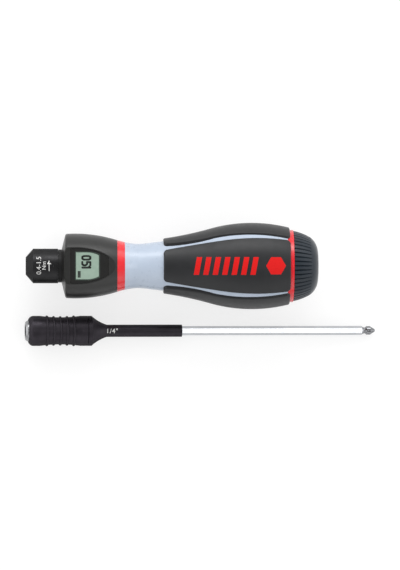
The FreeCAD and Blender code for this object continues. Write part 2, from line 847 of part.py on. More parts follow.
def build_panel(name):
    body = new_body(name, "handle")
    start = grip_start + S.panel_start
    flank = start + S.panel_flank_length
    shoulder = start + S.panel_shoulder_length
    belly = start + S.panel_belly_length
    sketch = draw(new_sketch(body, "XY_Plane"), [
        (start, -S.panel_front_half), Via(flank, -S.panel_flank_half),
        (shoulder, -S.panel_shoulder_half), Via(belly, -S.panel_belly_half),
        (grip_end, -S.panel_rear_half), (grip_end, S.panel_rear_half),
        Via(belly, S.panel_belly_half), (shoulder, S.panel_shoulder_half),
        Via(flank, S.panel_flank_half), (start, S.panel_front_half),
    ])
    block = pad(body, sketch, 2 * S.bulge_radius)
    corners = [start.value, grip_end.value]

    def at_corner(edge):
        first, last = edge.Vertexes[0].Point, edge.Vertexes[-1].Point
        upright = abs(first.x - last.x) + abs(first.y - last.y) < 1e-6
        return upright and min(abs(first.x - corner) for corner in corners) < 1e-6

    fillet(body, block, edges_where(block, at_corner), S.panel_corner_radius)
    above = S.bulge_radius + 4 * MARGIN
    beyond = grip_end + MARGIN
    turn_away(body, panel_face + [
        (beyond, panel_face[-1][1]), (beyond, above), (flare_start, above)],
        plane="XY_Plane")
    shell = turn_away(body, panel_seat + [
        (beyond, panel_seat[-1][1]), (beyond, 0), (flare_start, 0)],
        plane="XY_Plane")

    def on_rim(edge):
        middle = edge.valueAt((edge.FirstParameter + edge.LastParameter) / 2)
        points = [middle] + [vertex.Point for vertex in edge.Vertexes]
        lifts = [math.hypot(point.y, point.z) - core_radius(point.x) for point in points]
        across = max(abs(point.x - bulge_start.value) for point in points) < 1e-4
        return min(lifts) > S.panel_belly_rise.value - 0.02 and not across

    fillet(body, shell, edges_where(shell, on_rim), S.panel_edge_radius)


def core_radius(x):
    """Radius of the bare grip at a station under the panels."""
    arcs = grip_arcs()
    first, second = (arcs[0:3], arcs[2:5])
    start, middle, end = first if x < bulge_start.value else second
    arc = circle_through(start, middle.point, end)
    return arc.Center.y + math.copysign(
        math.sqrt(arc.Radius ** 2 - (x - arc.Center.x) ** 2), vector(start).y - arc.Center.y)


# ---------------------------------------------------------------- end cap
def build_end_cap():
    body = new_body("end_cap", "handle")
    inner_end = cap_end - S.cap_end_wall
    turn(body, [
        (cap_start, S.cap_cavity_radius),
        (cap_start, S.cap_radius),
        Via(cap_start + S.cap_curve_mid_length, S.cap_curve_mid_radius),
        (cap_start + S.cap_curve_length, S.cap_curve_radius),
        Via(cap_start + S.cap_corner_mid_length, S.cap_corner_mid_radius),
        (cap_end, S.cap_face_radius),
        (cap_end, 0),
        (inner_end, 0),
        (inner_end, S.cap_hub_radius),
        (hub_end, S.cap_hub_radius),
        (hub_end, 0),
        (hub_start, 0),
        (hub_start, S.cap_cavity_radius),
    ])
    play = S.hex_drive_flats + S.hex_drive_play
    pocket(body, hexagon(body, play, hub_start), S.cap_hub_length, reverse=True)
    pieces["end_cap"] = (fluted(body), "handle")


def fluted(blank):
    """The cap with its flutes, each a notch that runs out where the end starts to round."""
    lead = S.cap_gap.value
    slope = ((S.cap_radius.value - S.cap_curve_mid_radius.value)
             / S.cap_curve_mid_length.value)
    front = notch_section(cap_start.value - lead, S.cap_radius.value + slope * lead,
                          S.flute_depth.value, S.flute_width.value)
    middle = notch_section(cap_start.value + S.cap_curve_mid_length.value,
                           S.cap_curve_mid_radius.value, S.flute_depth.value,
                           S.flute_width.value)
    rear = notch_section(cap_start.value + S.cap_curve_length.value,
                         S.cap_curve_radius.value, S.flute_depth.value / 2,
                         S.flute_width.value / 2)
    cutter = Part.makeLoft([front, middle, rear], True, True)
    count = int(S.flute_count.value)
    cutters = []
    for number in range(count):
        turned = cutter.copy()
        turned.rotate(FreeCAD.Vector(), FreeCAD.Vector(1, 0, 0), FULL_TURN * number / count)
        cutters.append(turned)
    blank.Label = "cap_blank"
    cap = doc.addObject("Part::Feature", "fluted_cap")
    cap.Label = "end_cap"
    cap.Shape = blank.Shape.cut(cutters)
    if cap.Shape.Volume > blank.Shape.Volume - 1:
        raise RuntimeError("the flutes remove nothing")
    return cap


def notch_section(x, radius, depth, width):
    corners = [FreeCAD.Vector(x, 0, radius - depth), FreeCAD.Vector(x, width, radius + depth),
               FreeCAD.Vector(x, -width, radius + depth)]
    return Part.makePolygon(corners + corners[:1])


def build_cap_fixing():
    coil("cap_spring", "handle", hub_end, cap_spring_length, S.cap_spring_radius,
         S.cap_spring_wire_radius, S.cap_spring_turns)
    ring("cap_washer", "handle", washer_start, S.cap_washer_thickness, S.cap_screw_radius,
         S.cap_washer_radius - S.side_gap)
    head = washer_start + S.cap_washer_thickness
    body = new_body("cap_screw", "handle")
    turn(body, [
        (washer_start - S.cap_screw_length, 0),
        (washer_start - S.cap_screw_length, S.cap_screw_radius),
        (head, S.cap_screw_radius),
        (head, S.cap_screw_head_radius),
        (head + S.cap_screw_head_length, S.cap_screw_head_radius),
        (head + S.cap_screw_head_length, 0),
    ])


# ---------------------------------------------------------------- bit-holder blade
def build_bit_bush():
    body = new_body("bit_bush", "blade")
    shaft_start = S.bit_depth + S.magnet_length + S.bush_web
    turn(body, [
        (0, 0),
        (0, S.bush_face_radius),
        (S.bush_nose_length, S.bush_radius),
        (S.bush_shoulder, S.bush_radius),
        (S.bush_shoulder, S.bush_tail_radius),
        (S.bush_length, S.bush_tail_radius),
        (S.bush_length, 0),
    ])
    pocket(body, hexagon(body, S.bit_flats, as_size(0)), S.bit_depth, reverse=True)
    pocket(body, disc(body, "YZ_Plane", 0, S.magnet_radius, S.bit_depth), S.magnet_length,
           reverse=True)
    pocket(body, hexagon(body, S.blade_flats, shaft_start), S.bush_length - shaft_start,
           reverse=True)
    pocket(body, disc(body, "XY_Plane", S.bit_ball_inset, S.bit_ball_radius, as_size(0)),
           S.bush_radius, reverse=True)


def build_bit_catch():
    magnet = new_body("bit_magnet", "blade")
    pad(magnet, disc(magnet, "YZ_Plane", 0, S.magnet_radius, S.bit_depth), S.magnet_length)
    ball = new_body("bit_catch_ball", "blade")
    add_balls(ball, S.bit_ball_inset, S.bit_ball_circle, S.bit_ball_radius, False)


def build_release_sleeve():
    body = new_body("release_sleeve", "blade")
    front_bore = S.bush_radius + S.sleeve_bore_gap
    rear_bore = S.bush_tail_radius + S.sleeve_bore_gap
    outline = [
        (S.sleeve_start, front_bore),
        (S.sleeve_start, S.sleeve_front_radius),
        Via(S.sleeve_start + S.sleeve_shoulder_length, S.sleeve_shoulder_radius),
        (S.sleeve_start + S.sleeve_chamfer_length, S.sleeve_radius),
        (S.waist_middle - S.waist_reach, S.sleeve_radius),
    ]
    foot = S.ridge_width / 2
    for number in range(int(SIZES["ridge_count"])):
        centre = S.ridge_first + number * S.ridge_pitch
        outline += [
            (centre - foot, waist_radius(centre - foot)),
            Via(centre, waist_radius(centre) + S.ridge_height),
            (centre + foot, waist_radius(centre + foot)),
        ]
    outline += [
        (S.waist_middle + S.waist_reach, S.sleeve_radius),
        (S.sleeve_end, S.sleeve_radius),
        (S.sleeve_end, rear_bore),
        (sleeve_bore_step, rear_bore),
        (sleeve_bore_step, front_bore),
    ]
    turn(body, outline)
    spring_radius = S.bush_tail_radius + S.sleeve_bore_gap + S.sleeve_spring_wire_radius
    coil("sleeve_spring", "blade", S.bush_shoulder, sleeve_spring_length, spring_radius,
         S.sleeve_spring_wire_radius, S.sleeve_spring_turns)


def waist_radius(station):
    """The sleeve's waist between its ridges, a shallow hollow along its length."""
    share = (station - S.waist_middle) / S.waist_reach
    return S.sleeve_radius - S.waist_dip * (1 - share * share)


def build_holder_body():
    body = new_body("holder_body", "blade")
    start = S.sleeve_end + S.holder_gap
    band_end = start + S.band_length
    flare = band_end + S.band_corner
    turn(body, [
        (start, 0),
        (start, S.sleeve_radius),
        (band_end, S.sleeve_radius),
        (flare, S.sleeve_radius - S.band_corner),
        Via(flare + S.flare_in_length, S.flare_in_radius - S.band_corner),
        (flare + S.flare_out_length, S.blade_tube_radius),
        (S.tube_end, S.blade_tube_radius),
        (S.tube_end, 0),
    ])
    pocket(body, disc(body, "YZ_Plane", 0, S.bush_tail_radius, start), S.bush_length - start,
           reverse=True)
    pocket(body, hexagon(body, S.blade_flats, S.bush_length), S.tube_end - S.bush_length,
           reverse=True)


def blade_end_profile():
    neck = S.blade_hex_end + S.blade_chamfer
    knob = neck + S.drive_neck_length
    knob_end = knob + S.knob_length
    cone_end = knob_end + S.drive_cone_length
    return [
        (neck, S.drive_neck_radius),
        (knob, S.drive_neck_radius),
        (knob + S.knob_rise_length, S.knob_radius),
        (knob_end - S.knob_round, S.knob_radius),
        (knob_end, S.knob_radius - S.knob_round),
        (cone_end, S.drive_tip_radius),
        (cone_end + S.drive_tip_round, S.drive_tip_radius - S.drive_tip_round),
    ]


def build_blade_shaft():
    body = new_body("blade_shaft", "blade")
    shaft_start = S.bit_depth + S.magnet_length + S.bush_web
    pad(body, hexagon(body, S.blade_flats, shaft_start), S.blade_hex_end - shaft_start)
    corner = S.blade_flats / root(as_size(3))
    tip = blade_end_profile()
    before = volume_of(body)
    turn(body, [(S.blade_hex_end, 0), (S.blade_hex_end, S.blade_flats / 2)] + tip
         + [(tip[-1][0], 0)])
    if volume_of(body) <= before:
        raise RuntimeError("the drive end adds nothing")
    turn_away(body, [
        (S.blade_hex_end - (corner - S.blade_flats / 2), corner),
        (S.blade_hex_end, S.blade_flats / 2),
        (S.blade_hex_end, corner + 1),
        (S.blade_hex_end - (corner - S.blade_flats / 2), corner + 1),
    ])


# ---------------------------------------------------------------- lay the pieces down
def outline_points(name):
    """Stations and radii of a piece's outer surface, from its own mesh."""
    mesh_points = pieces[name][0].Shape.tessellate(0.01)[0]
    return [(point.x, math.hypot(point.y, point.z)) for point in mesh_points]


def resting_line(names, inside_x):
    """Slope and height of the floor line that touches the outline on both sides of a place."""
    points = [point for name in names for point in outline_points(name)]
    before = [point for point in points if point[0] < inside_x]
    after = [point for point in points if point[0] >= inside_x]
    slope = 0.0
    for _ in range(20):
        left = max(before, key=lambda point: point[1] - slope * point[0])
        right = max(after, key=lambda point: point[1] - slope * point[0])
        slope = (right[1] - left[1]) / (right[0] - left[0])
    return slope, left[1] - slope * left[0]


def lie_down(names, inside_x, shift):
    """Placement that tips a tool about Y until its floor line is level at z = 0."""
    slope, height = resting_line(names, inside_x)
    angle = math.atan(slope)
    rise = height * math.cos(angle)
    rotation = FreeCAD.Rotation(FreeCAD.Vector(0, 1, 0), -math.degrees(angle))
    return FreeCAD.Placement(FreeCAD.Vector(shift[0], shift[1], rise), rotation)


build_drive_nose()
build_blade_catch()
ring("nose_seal", "handle", S.nose_length + S.running_gap, S.seal_length - S.running_gap,
     S.stem_radius + S.side_gap, S.seal_radius)
build_head_housing()
ring("front_bearing", "handle", bearing_start, S.bearing_length,
     S.stem_radius + S.running_gap, S.bearing_radius)
build_display()
build_battery()
build_clutch()
build_torque_setting()
front_ring = new_body("front_ring", "handle")
turn(front_ring, [
    (head_end, S.tube_radius), (head_end, S.head_rear_radius),
    (grip_start, S.front_ring_radius), (grip_start, S.tube_radius),
])
build_grip_core()
for panel_name in PANEL_NAMES:
    build_panel("grip_panel_" + panel_name)
build_rear_ring()
build_end_cap()
build_cap_fixing()
build_bit_bush()
build_bit_catch()
build_release_sleeve()
build_holder_body()
build_blade_shaft()
doc.recompute()

handle_place = lie_down(["head_housing", "grip_panel_top"], grip_start.value, (0, 0))
blade_place = lie_down(["holder_body", "blade_shaft"], S.tube_end.value,
                       (S.blade_setback.value, -S.blade_distance.value))


def place_all(shift):
    for name, (body, group) in pieces.items():
        place = handle_place if group == "handle" else blade_place
        spin = 0
        if name.startswith("grip_panel_"):
            spin = QUARTER_TURN * PANEL_NAMES.index(name[len("grip_panel_"):])
        elif name in ("grip_core", "rear_ring"):
            spin = EIGHTH_TURN
        about_axis = FreeCAD.Placement(
            FreeCAD.Vector(), FreeCAD.Rotation(FreeCAD.Vector(1, 0, 0), spin))
        body.Placement = FreeCAD.Placement(shift, FreeCAD.Rotation()) * place * about_axis


place_all(FreeCAD.Vector())
doc.recompute()
whole = FreeCAD.BoundBox()
for body, _ in pieces.values():
    whole.add(body.Shape.optimalBoundingBox(False, False))
origin_shift = FreeCAD.Vector(-whole.Center.x, -whole.Center.y, -whole.ZMin)
place_all(origin_shift)
doc.recompute()

for item in doc.Objects:
    if "Invalid" in item.State or "Error" in item.State:
        raise RuntimeError("%s failed: %s" % (item.Label, item.State))
for name, (body, _) in pieces.items():
    if body.Shape.isNull() or not body.Shape.isValid():
        raise RuntimeError("%s has no valid shape" % name)
os.makedirs("parts", exist_ok=True)
for name, (body, _) in pieces.items():
    body.Shape.exportStep(os.path.join("parts", name + ".step"))
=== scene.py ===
import json
import math
import bmesh
import bpy
from mathutils import Matrix, Vector
from mathutils.bvhtree import BVHTree


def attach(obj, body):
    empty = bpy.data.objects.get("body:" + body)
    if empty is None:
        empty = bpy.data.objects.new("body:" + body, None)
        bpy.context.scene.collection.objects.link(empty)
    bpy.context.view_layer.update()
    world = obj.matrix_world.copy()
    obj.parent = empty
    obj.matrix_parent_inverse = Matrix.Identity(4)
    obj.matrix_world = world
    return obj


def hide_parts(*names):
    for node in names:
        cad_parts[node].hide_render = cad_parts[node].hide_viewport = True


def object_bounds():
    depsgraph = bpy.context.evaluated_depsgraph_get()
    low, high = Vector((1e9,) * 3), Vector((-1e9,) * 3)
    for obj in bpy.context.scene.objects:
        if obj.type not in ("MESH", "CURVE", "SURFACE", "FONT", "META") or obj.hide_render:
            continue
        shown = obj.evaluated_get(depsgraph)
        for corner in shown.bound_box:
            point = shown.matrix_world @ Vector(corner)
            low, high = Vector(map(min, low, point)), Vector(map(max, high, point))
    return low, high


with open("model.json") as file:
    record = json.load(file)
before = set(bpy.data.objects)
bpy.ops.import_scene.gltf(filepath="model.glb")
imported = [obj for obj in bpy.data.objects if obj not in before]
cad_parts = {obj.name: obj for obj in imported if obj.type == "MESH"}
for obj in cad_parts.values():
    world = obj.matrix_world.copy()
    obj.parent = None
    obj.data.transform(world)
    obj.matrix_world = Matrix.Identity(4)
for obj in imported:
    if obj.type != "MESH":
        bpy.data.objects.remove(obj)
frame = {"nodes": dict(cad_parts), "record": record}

cad_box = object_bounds()
MM = 0.001
BLADE_HEX_END = 170.9       # mm from the bit end to where the shaft's hexagon ends
mounts = {mount["name"]: mount for mount in frame["record"]["mounts"]}


# ------------------------------------------------------------------ the two tools' own axes
def tool_frame(mount):
    """Matrix from a tool's own millimetres (x from its front end, z up) to the scene."""
    x_axis = -Vector(mount["axis"]).normalized()
    y_axis = Vector((0, 1, 0))
    z_axis = x_axis.cross(y_axis)
    turn = Matrix((x_axis, y_axis, z_axis)).transposed().to_4x4()
    return Matrix.Translation(Vector(mount["pos_m"])) @ turn @ Matrix.Scale(MM, 4)


HANDLE = tool_frame(mounts["blade_socket"])
BLADE = tool_frame(mounts["bit_socket"])
# where the painted shade on the drive end begins; it fades in over DRIVE_END_BLEND
DRIVE_END_X = (BLADE @ Vector((BLADE_HEX_END, 0, 0))).x
DRIVE_END_BLEND = 0.0002


# ------------------------------------------------------------------ materials
NOISE_SPREAD = 0.25         # how far from its middle a noise mostly reaches


def srgb(red, green, blue):
    """Linear colour from the 0-255 values a screen shows."""
    def linear(value):
        value /= 255
        return value / 12.92 if value <= 0.04045 else ((value + 0.055) / 1.055) ** 2.4
    return (linear(red), linear(green), linear(blue), 1)


def grey(level):
    """Grey of a linear level."""
    return (level, level, level, 1)


class Shade:
    """A material's node tree with short calls for what this scene repeats."""

    def __init__(self, name, roughness, **sockets):
        self.material = bpy.data.materials.new(name)
        self.material.use_nodes = True
        self.tree = self.material.node_tree
        self.shader = self.tree.nodes["Principled BSDF"]
        self.set(Roughness=roughness, **sockets)
        self.place = self.tree.nodes.new("ShaderNodeTexCoord").outputs["Object"]

    def set(self, **sockets):
        for socket, value in sockets.items():
            self.shader.inputs[socket.replace("_", " ")].default_value = value

    def link(self, output, target):
        self.tree.links.new(output, target)

    def node(self, kind, **values):
        made = self.tree.nodes.new("ShaderNode" + kind)
        for socket, value in values.items():
            made.inputs[socket.replace("_", " ")].default_value = value
        return made

    def noise(self, size_mm, detail=3.0, stretch=(1, 1, 1)):
        """Noise whose lumps are about size_mm across, stretched along the tool if asked."""
        mapping = self.node("Mapping", Scale=[1 / factor for factor in stretch])
        self.link(self.place, mapping.inputs["Vector"])
        noise = self.node("TexNoise", Scale=1 / (size_mm * MM), Detail=detail)
        self.link(mapping.outputs["Vector"], noise.inputs["Vector"])
        return noise.outputs["Fac"]

    def between(self, factor, low, high):
        """Maps the middle of a noise to a range."""
        spanned = self.node("MapRange", From_Min=0.5 - NOISE_SPREAD,
                            From_Max=0.5 + NOISE_SPREAD, To_Min=low, To_Max=high)
        self.link(factor, spanned.inputs["Value"])
        return spanned.outputs["Result"]

    def blend(self, factor, first, second):
        """Mixes two colours, each a plain one or another node's output."""
        mix = self.tree.nodes.new("ShaderNodeMix")
        mix.data_type = "RGBA"
        for name, colour in (("A", first), ("B", second)):
            if isinstance(colour, tuple):
                mix.inputs[name].default_value = colour
            else:
                self.link(colour, mix.inputs[name])
        self.link(factor, mix.inputs["Factor"])
        return mix.outputs["Result"]

    def mottle(self, first, second, size_mm, **more):
        """Base colour that wanders slightly between two tones."""
        tone = self.blend(self.between(self.noise(size_mm, **more), 0, 1), first, second)
        self.link(tone, self.shader.inputs["Base Color"])

    def vary_roughness(self, low, high, size_mm, **more):
        self.link(self.between(self.noise(size_mm, **more), low, high),
                  self.shader.inputs["Roughness"])

    def bump(self, height, depth_mm):
        bump = self.node("Bump", Strength=1.0, Distance=depth_mm * MM)
        self.link(height, bump.inputs["Height"])
        self.link(bump.outputs["Normal"], self.shader.inputs["Normal"])


def moulded_plastic(name, first, second, roughness, grain_mm, grain_depth, **sockets):
    """Moulded plastic with a fine spark-eroded grain and slightly uneven gloss."""
    shade = Shade(name, roughness, **sockets)
    shade.mottle(first, second, 9)
    shade.vary_roughness(roughness - 0.05, roughness + 0.05, 3)
    shade.bump(shade.noise(grain_mm, detail=2), grain_depth)
    return shade.material


def soft_rubber():
    """The grip's soft panels."""
    shade = Shade("soft_rubber", 0.42, Specular_IOR_Level=0.42)
    shade.mottle(srgb(22, 23, 25), srgb(27, 28, 31), 6)
    shade.vary_roughness(0.38, 0.47, 2.5)
    shade.bump(shade.noise(0.3, detail=2), 0.01)
    return shade.material


def turned_metal(name, first, second, roughness, metallic, line_depth, **sockets):
    """Turned or drawn metal: fine rings left by the tool, under whatever coat it has."""
    shade = Shade(name, roughness, Metallic=metallic, **sockets)
    shade.mottle(first, second, 4)
    shade.vary_roughness(roughness - 0.05, roughness + 0.07, 1.5)
    shade.bump(shade.noise(0.16, detail=1, stretch=(1, 30, 30)), line_depth)
    return shade.material


def drawn_hexagon():
    """Chromed hexagon bar, its marks along the bar, with painted shade on the drive end: a
    darker base colour there.
    """
    shade = Shade("bright_hexagon", 0.17, Metallic=1.0)
    bar = shade.blend(shade.between(shade.noise(5), 0, 1), srgb(184, 186, 190),
                      srgb(196, 198, 201))
    # painted shade: the drive end gets a darker base colour than the bar
    painted_shade_tip = shade.blend(shade.between(shade.noise(1), 0, 1), srgb(120, 121, 124),
                         srgb(150, 151, 154))
    split = shade.node("SeparateXYZ")
    shade.link(shade.place, split.inputs["Vector"])
    along = shade.node("MapRange", From_Min=DRIVE_END_X - DRIVE_END_BLEND,
                       From_Max=DRIVE_END_X + DRIVE_END_BLEND)
    shade.link(split.outputs["X"], along.inputs["Value"])
    shade.link(shade.blend(along.outputs["Result"], bar, painted_shade_tip),
               shade.shader.inputs["Base Color"])
    shade.vary_roughness(0.13, 0.22, 3, stretch=(8, 1, 1))
    shade.bump(shade.noise(0.12, detail=1, stretch=(60, 1, 1)), 0.002)
    return shade.material


def clear_red():
    """Red plastic that lets a little light in, as both rings have."""
    shade = Shade("clear_red", 0.22, Coat_Weight=0.35, Coat_Roughness=0.08,
                  Subsurface_Weight=0.25, Subsurface_Scale=0.003)
    shade.set(Subsurface_Radius=(1.0, 0.12, 0.1))
    shade.mottle(srgb(222, 22, 36), srgb(232, 34, 46), 7)
    shade.vary_roughness(0.18, 0.28, 2)
    shade.bump(shade.noise(0.5, detail=2), 0.004)
    return shade.material


def silver_grey():
    """Hard grip core: a pale blue-grey lacquered plastic."""
    shade = Shade("silver_grey", 0.3, Coat_Weight=0.25, Coat_Roughness=0.12)
    shade.mottle(srgb(174, 186, 203), srgb(182, 194, 210), 8)
    shade.vary_roughness(0.25, 0.35, 2)
    shade.bump(shade.noise(0.35, detail=2), 0.004)
    return shade.material


def printed(name, first, second, roughness=0.45):
    """Ink or foil: a thin print with slightly uneven cover."""
    shade = Shade(name, roughness, Specular_IOR_Level=0.2)
    shade.mottle(first, second, 0.7)
    shade.vary_roughness(roughness - 0.05, roughness + 0.05, 0.5)
    return shade.material


def under_lens(name, first, second):
    """What is seen through the display's clear window, with the window's own gloss."""
    shade = Shade(name, 0.5, Coat_Weight=0.7, Coat_Roughness=0.06)
    shade.mottle(first, second, 2.2)
    shade.vary_roughness(0.42, 0.58, 1)
    return shade.material


MATERIALS = {
    "anodised_black": turned_metal("anodised_black", srgb(44, 44, 45), srgb(52, 52, 53),
                                   0.34, 0.7, 0.004, Specular_IOR_Level=0.4,
                                   Specular_Tint=(0.3, 0.3, 0.3, 1)),
    "sleeve_black": turned_metal("sleeve_black", srgb(49, 46, 51), srgb(57, 54, 59),
                                 0.38, 0.7, 0.004, Specular_IOR_Level=0.35,
                                 Specular_Tint=(0.3, 0.3, 0.3, 1)),
    "head_black": moulded_plastic("head_black", srgb(26, 26, 25), srgb(31, 31, 30),
                                  0.36, 0.42, 0.03, Specular_IOR_Level=0.5),
    "cap_slate": moulded_plastic("cap_slate", srgb(28, 36, 44), srgb(33, 42, 51),
                                 0.34, 0.4, 0.01, Specular_IOR_Level=0.35),
    "window_black": moulded_plastic("window_black", srgb(24, 24, 23), srgb(28, 28, 27),
                                    0.16, 1.5, 0.002, Coat_Weight=0.6, Coat_Roughness=0.05),
    "soft_rubber": soft_rubber(),
    "clear_red": clear_red(),
    "silver_grey": silver_grey(),
    "steel": turned_metal("steel", srgb(142, 143, 145), srgb(160, 161, 163), 0.3, 1.0, 0.004),
    "brass": turned_metal("brass", srgb(205, 170, 98), srgb(220, 188, 120), 0.28, 1.0, 0.004),
    "bright_hexagon": drawn_hexagon(),
    "seal_black": moulded_plastic("seal_black", srgb(13, 13, 14), srgb(18, 18, 19),
                                  0.55, 0.4, 0.02, Specular_IOR_Level=0.3),
    "board_green": moulded_plastic("board_green", srgb(20, 74, 40), srgb(28, 88, 50),
                                   0.4, 0.8, 0.01),
    "lcd_field": under_lens("lcd_field", srgb(136, 158, 143), srgb(146, 167, 152)),
    "lcd_edge": under_lens("lcd_edge", srgb(34, 48, 40), srgb(40, 55, 46)),
    "lcd_ink": under_lens("lcd_ink", srgb(10, 18, 13), srgb(14, 23, 17)),
    "white_print": printed("white_print", srgb(214, 214, 212), srgb(226, 226, 224)),
    "red_print": printed("red_print", srgb(206, 16, 16), srgb(215, 21, 20), 0.5),
}

NODE_FINISH = {
    "anodised_black": ["drive_nose", "blade_catch_ring"],
    "sleeve_black": ["release_sleeve", "holder_body"],
    "head_black": ["head_housing", "battery_cover"],
    "cap_slate": ["end_cap"],
    "window_black": ["lcd_frame"],
    "soft_rubber": ["grip_panel_top", "grip_panel_back", "grip_panel_bottom",
                    "grip_panel_front"],
    "clear_red": ["front_ring", "rear_ring"],
    "silver_grey": ["grip_core"],
    "steel": ["blade_catch_pin", "clutch_cam", "clutch_balls", "pressure_plate",
              "mechanism_tube", "torque_spring", "adjusting_screw", "thrust_bearing",
              "cap_spring", "cap_washer", "cap_screw", "battery_cell", "battery_contact",
              "bit_bush", "bit_magnet", "bit_catch_ball", "sleeve_spring"],
    "brass": ["front_bearing", "adjusting_nut", "rear_plug"],
    "bright_hexagon": ["blade_shaft"],
    "seal_black": ["nose_seal"],
    "board_green": ["circuit_board"],
    "lcd_field": ["lcd_screen"],
}


def finish_nodes():
    """Gives each CAD node its material."""
    for finish, names in NODE_FINISH.items():
        for name in names:
            slots = frame["nodes"][name].data.materials
            slots.clear()
            slots.append(MATERIALS[finish])


# ------------------------------------------------------------------ mesh helpers
SPLIT_ROUNDS = 8
RAY_START = 100.0           # mm, above everything


def add_piece(name, mesh, finish, body):
    """Makes a piece that moves with a body of the part."""
    piece = bpy.data.objects.new(name, mesh)
    bpy.context.scene.collection.objects.link(piece)
    mesh.materials.clear()
    mesh.materials.append(MATERIALS[finish])
    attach(piece, body)
    return piece


def surface_below(nodes, tool):
    """Gives the point of CAD nodes' upper surface at (x, y) of a tool, in millimetres."""
    inverse = tool.inverted()
    points, faces = [], []
    for node in nodes:
        mesh = frame["nodes"][node].data
        faces += [[index + len(points) for index in polygon.vertices]
                  for polygon in mesh.polygons]
        points += [inverse @ vertex.co for vertex in mesh.vertices]
    tree = BVHTree.FromPolygons(points, faces)

    def surface_point(x, y):
        return tree.ray_cast(Vector((x, y, RAY_START)), Vector((0, 0, -1)))[0]
    return surface_point


def split_long_edges(mesh, longest):
    """Cuts a flat shape's faces, in rounds, so that their edges get no longer than asked."""
    bmesh.ops.triangulate(mesh, faces=mesh.faces[:])
    for _ in range(SPLIT_ROUNDS):
        long_edges = [edge for edge in mesh.edges if edge.calc_length() > longest]
        if not long_edges:
            return
        bmesh.ops.subdivide_edges(mesh, edges=long_edges, cuts=1)
        bmesh.ops.triangulate(mesh, faces=mesh.faces[:])


def lay_on(name, flat, nodes, tool, lift, finish, body, longest):
    """Lays a flat bmesh, drawn in a tool's x and y, on CAD nodes' upper surface."""
    split_long_edges(flat, longest)
    surface_point = surface_below(nodes, tool)
    for vertex in flat.verts:
        point = surface_point(vertex.co.x, vertex.co.y)
        vertex.co = tool @ (point + Vector((0, 0, lift)))
    mesh = bpy.data.meshes.new(name)
    bmesh.ops.recalc_face_normals(flat, faces=flat.faces[:])
    flat.to_mesh(mesh)
    flat.free()
    for polygon in mesh.polygons:
        polygon.use_smooth = True
        if polygon.normal.z < 0:
            polygon.flip()
    return add_piece(name, mesh, finish, body)


def polygons(outlines):
    """A flat bmesh of closed outlines."""
    flat = bmesh.new()
    for outline in outlines:
        flat.faces.new([flat.verts.new((x, y, 0)) for x, y in outline])
    return flat


def slab(name, outline, bottom, top, tool, finish, body, bevel=0.0):
    """An upright plate of an outline in a tool's x and y, with softened upper edges."""
    plate = bmesh.new()
    base = plate.faces.new([plate.verts.new((x, y, bottom)) for x, y in outline])
    lifted = bmesh.ops.extrude_face_region(plate, geom=[base])
    raised = [item for item in lifted["geom"] if isinstance(item, bmesh.types.BMVert)]
    bmesh.ops.translate(plate, verts=raised, vec=(0, 0, top - bottom))
    bmesh.ops.recalc_face_normals(plate, faces=plate.faces[:])
    if bevel:
        rim = [edge for edge in plate.edges
               if all(abs(vertex.co.z - top) < 1e-6 for vertex in edge.verts)]
        bmesh.ops.bevel(plate, geom=rim, offset=bevel, segments=3, affect="EDGES")
    plate.transform(tool)
    mesh = bpy.data.meshes.new(name)
    plate.to_mesh(mesh)
    plate.free()
    return add_piece(name, mesh, finish, body)


def stroke(points, width):
    """Outlines of a line of even width with round ends and joints."""
    outlines = []
    half = width / 2
    for start, end in zip(points, points[1:]):
        along = Vector((end[0] - start[0], end[1] - start[1])).normalized()
        side = Vector((-along.y, along.x)) * half
        first, last = Vector(start), Vector(end)
        outlines.append([first + side, last + side, last - side, first - side])
    steps = 12
    for x, y in points:
        outlines.append([(x + half * math.cos(math.tau * step / steps),
                          y + half * math.sin(math.tau * step / steps))
                         for step in range(steps)])
    return outlines


def text_outline(body, height, centre, quarter_turns, weight=0.0, spacing=1.0):
    """Plain figures as a flat bmesh, centred in a tool's x and y."""
    curve = bpy.data.curves.new("figures", "FONT")
    curve.body = body
    curve.align_x = "CENTER"
    curve.align_y = "CENTER"
    curve.resolution_u = 6
    curve.offset = weight
    curve.space_character = spacing
    written = bpy.data.objects.new("figures", curve)
    mesh = bpy.data.meshes.new_from_object(written)
    flat = bmesh.new()
    flat.from_mesh(mesh)
    low = min(vertex.co.y for vertex in flat.verts)
    high = max(vertex.co.y for vertex in flat.verts)
    left = min(vertex.co.x for vertex in flat.verts)
    right = max(vertex.co.x for vertex in flat.verts)
    flat.transform(Matrix.Translation((centre[0], centre[1], 0))
                   @ Matrix.Rotation(quarter_turns * math.pi / 2, 4, "Z")
                   @ Matrix.Scale(height / (high - low), 4)
                   @ Matrix.Translation((-(left + right) / 2, -(low + high) / 2, 0)))
    bpy.data.objects.remove(written)
    bpy.data.curves.remove(curve)
    bpy.data.meshes.remove(mesh)
    return flat


def box_in_tool(node, tool):
    """Lowest and highest corners of a CAD node, measured along a tool's own axes."""
    inverse = tool.inverted()
    points = [inverse @ vertex.co for vertex in frame["nodes"][node].data.vertices]
    low = Vector([min(point[axis] for point in points) for axis in range(3)])
    high = Vector([max(point[axis] for point in points) for axis in range(3)])
    return low, high


